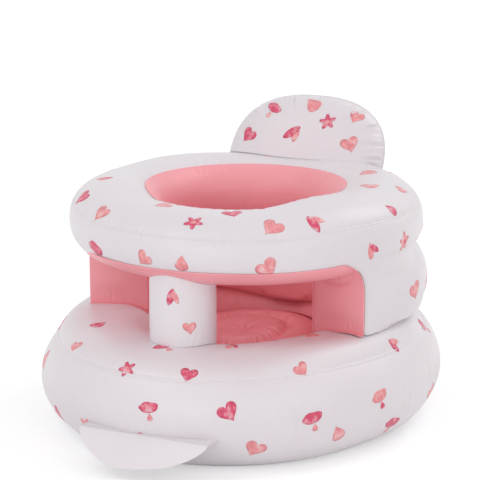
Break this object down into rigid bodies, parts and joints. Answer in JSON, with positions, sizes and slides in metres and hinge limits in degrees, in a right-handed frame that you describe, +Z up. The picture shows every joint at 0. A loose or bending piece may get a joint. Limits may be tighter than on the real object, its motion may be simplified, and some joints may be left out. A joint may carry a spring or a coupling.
{
  "type": "inflatable baby floor seat",
  "caption": "Inflatable floor seat for a baby: oval base, seat pad, round arm ring with two leg arches and a front post, low backrest, film tab and air valves.",
  "frame": {"origin": "on the floor, under the centre of the oval base ring", "axes": "+Z up, -Y towards the front post and the leg arches, +X to the seat's left-hand side as its sitter faces forward"},
  "size_m": [0.52, 0.6237, 0.4079],
  "materials": {
    "film_white": "glossy vinyl film",
    "liner_pink": "glossy vinyl film",
    "valve_clear": "soft moulded vinyl"
  },
  "bodies": {
    "seat": {"base_ring": "film_white", "base_bottom_sheet": "film_white", "seat_pad": "liner_pink", "rear_wall": "film_white", "top_ring": "film_white", "wall_tie_strip": "film_white", "rear_liner": "liner_pink", "front_liner": "liner_pink", "left_jamb_gusset": "liner_pink", "right_jamb_gusset": "liner_pink", "front_post": "film_white", "backrest": "film_white", "tab_root": "film_white", "base_valve_flange": "valve_clear", "wall_valve_flange": "valve_clear", "back_valve_flange": "valve_clear"},
    "front_tab": {"front_tab": "film_white"},
    "base_stem": {"base_valve_stem": "valve_clear"},
    "base_plug": {"base_valve_plug": "valve_clear"},
    "base_flap": {"base_valve_flap": "valve_clear"},
    "wall_stem": {"wall_valve_stem": "valve_clear"},
    "wall_plug": {"wall_valve_plug": "valve_clear"},
    "wall_flap": {"wall_valve_flap": "valve_clear"},
    "back_stem": {"back_valve_stem": "valve_clear"},
    "back_plug": {"back_valve_plug": "valve_clear"},
    "back_flap": {"back_valve_flap": "valve_clear"}
  },
  "joints": [
    {"name": "tab_fold", "type": "hinge", "parent": "seat", "child": "front_tab", "pos_m": [0, -0.29435, 0.05025], "axis": [1, 0, 0], "range_deg": [-80, 20], "stiffness_Nm_per_rad": 0.005},
    {"name": "base_stem_slide", "type": "slide", "parent": "seat", "child": "base_stem", "axis": [0, 1, 0], "range_m": [0, 0.012]},
    {"name": "base_plug_pull", "type": "slide", "parent": "base_stem", "child": "base_plug", "axis": [0, 1, 0], "range_m": [0, 0.01]},
    {"name": "base_flap_hinge", "type": "hinge", "parent": "base_stem", "child": "base_flap", "pos_m": [0, 0.2761, 0.0622], "axis": [1, 0, 0], "range_deg": [0, 40], "stiffness_Nm_per_rad": 0.0002},
    {"name": "wall_stem_slide", "type": "slide", "parent": "seat", "child": "wall_stem", "axis": [0, 1, 0], "range_m": [0, 0.012]},
    {"name": "wall_plug_pull", "type": "slide", "parent": "wall_stem", "child": "wall_plug", "axis": [0, 1, 0], "range_m": [0, 0.01]},
    {"name": "wall_flap_hinge", "type": "hinge", "parent": "wall_stem", "child": "wall_flap", "pos_m": [0, 0.2341, 0.1842], "axis": [1, 0, 0], "range_deg": [0, 40], "stiffness_Nm_per_rad": 0.0002},
    {"name": "back_stem_slide", "type": "slide", "parent": "seat", "child": "back_stem", "axis": [0, 0.891, -0.454], "range_m": [0, 0.012]},
    {"name": "back_plug_pull", "type": "slide", "parent": "back_stem", "child": "back_plug", "axis": [0, 0.891, -0.454], "range_m": [0, 0.01]},
    {"name": "back_flap_hinge", "type": "hinge", "parent": "back_stem", "child": "back_flap", "pos_m": [0, 0.22525, 0.34262], "axis": [1, 0, 0], "range_deg": [0, 40], "stiffness_Nm_per_rad": 0.0002}
  ]
}
